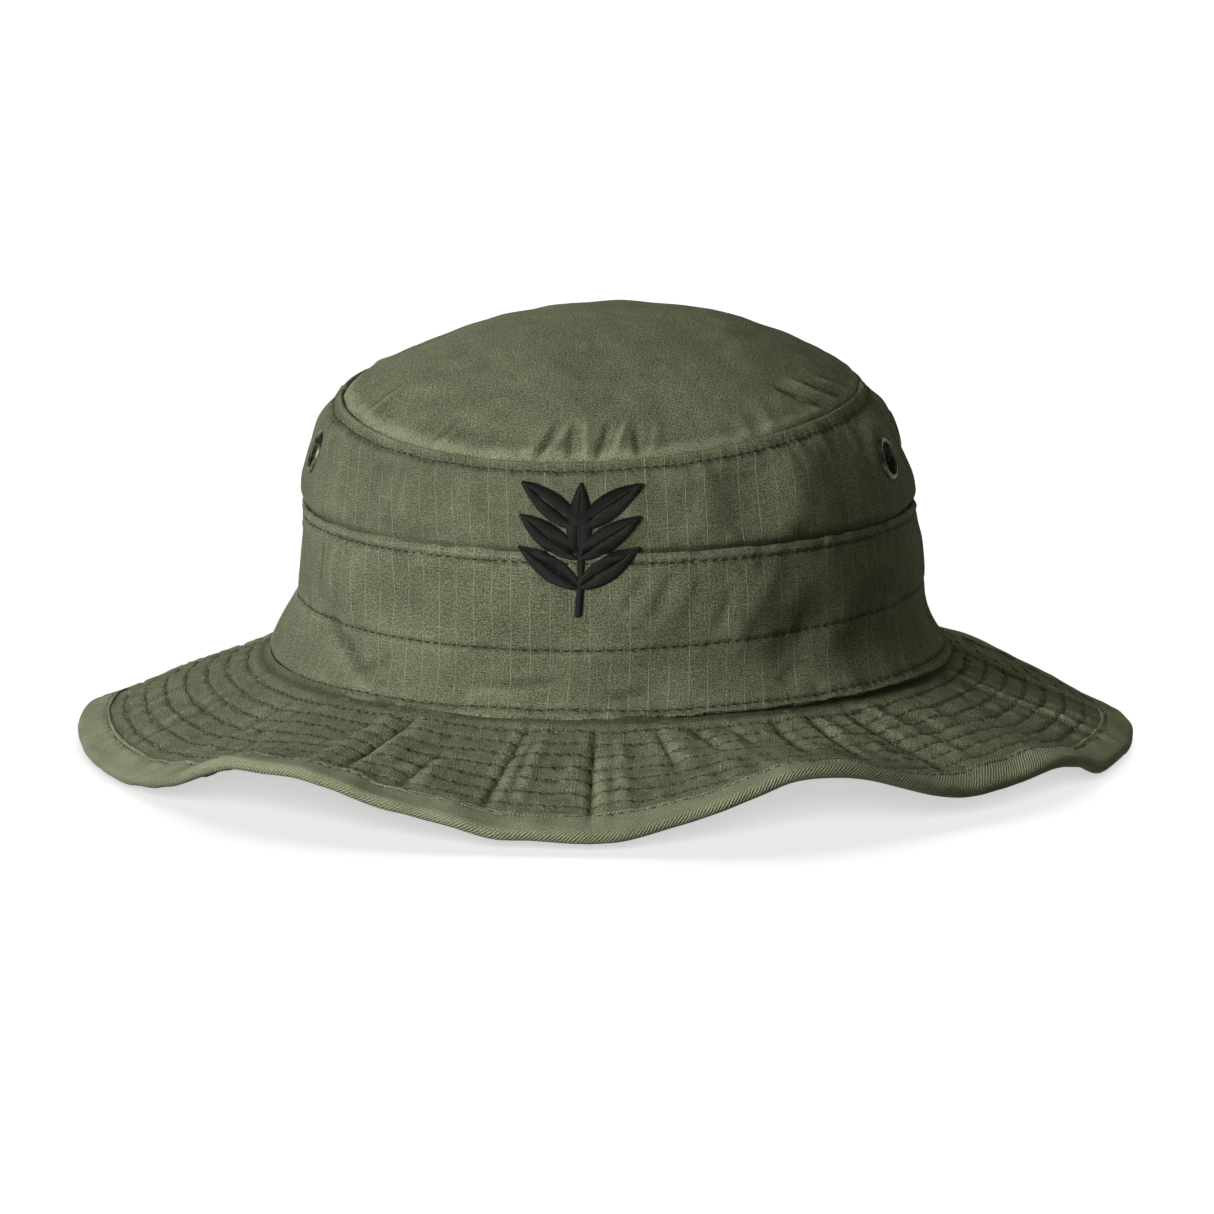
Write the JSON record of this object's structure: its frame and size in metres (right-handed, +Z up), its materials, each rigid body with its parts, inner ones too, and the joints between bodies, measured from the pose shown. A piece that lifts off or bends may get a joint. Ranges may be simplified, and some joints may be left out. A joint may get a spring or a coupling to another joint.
{
  "type": "boonie hat",
  "caption": "Soft sun hat with a domed crown, a lower crown band, screened side vents and a wide waved brim quilted in rows and bound at the edge.",
  "frame": {"origin": "on the surface that the hat stands on, under the middle of its brim", "axes": "+Z up through the crown, -Y towards the hat's front, +X towards its left side as worn (the right of a picture taken from the front)"},
  "size_m": [0.2838, 0.2994, 0.1168],
  "materials": {
    "ripstop_cloth": "matte olive ripstop cotton",
    "brim_core": "stiff non-woven interlining",
    "sweatband_cloth": "matte olive twill",
    "bias_tape": "matte olive twill tape",
    "thread": "olive sewing thread",
    "embroidery_thread": "black satin-stitch thread",
    "blackened_brass": "blackened, worn at the edge",
    "screen_wire": "black wire"
  },
  "bodies": {
    "root": {"crown_top": "ripstop_cloth", "side_panel_front": "ripstop_cloth", "side_panel_back": "ripstop_cloth", "lower_band_front": "ripstop_cloth", "lower_band_back": "ripstop_cloth", "brim_upper_front": "ripstop_cloth", "brim_upper_back": "ripstop_cloth", "brim_lower_front": "ripstop_cloth", "brim_lower_back": "ripstop_cloth", "brim_interlining_front": "brim_core", "brim_interlining_back": "brim_core", "sweatband": "sweatband_cloth", "brim_binding": "bias_tape", "top_seam_thread": "thread", "band_seam_thread": "thread", "sweatband_thread": "thread", "brim_seam_thread": "thread", "brim_quilting_threads": "thread", "binding_thread": "thread", "front_embroidery": "embroidery_thread", "vent_eyelet_left_front": "blackened_brass", "vent_washer_left_front": "blackened_brass", "vent_screen_left_front": "screen_wire", "vent_eyelet_left_rear": "blackened_brass", "vent_washer_left_rear": "blackened_brass", "vent_screen_left_rear": "screen_wire", "vent_eyelet_right_front": "blackened_brass", "vent_washer_right_front": "blackened_brass", "vent_screen_right_front": "screen_wire", "vent_eyelet_right_rear": "blackened_brass", "vent_washer_right_rear": "blackened_brass", "vent_screen_right_rear": "screen_wire"}
  },
  "joints": []
}
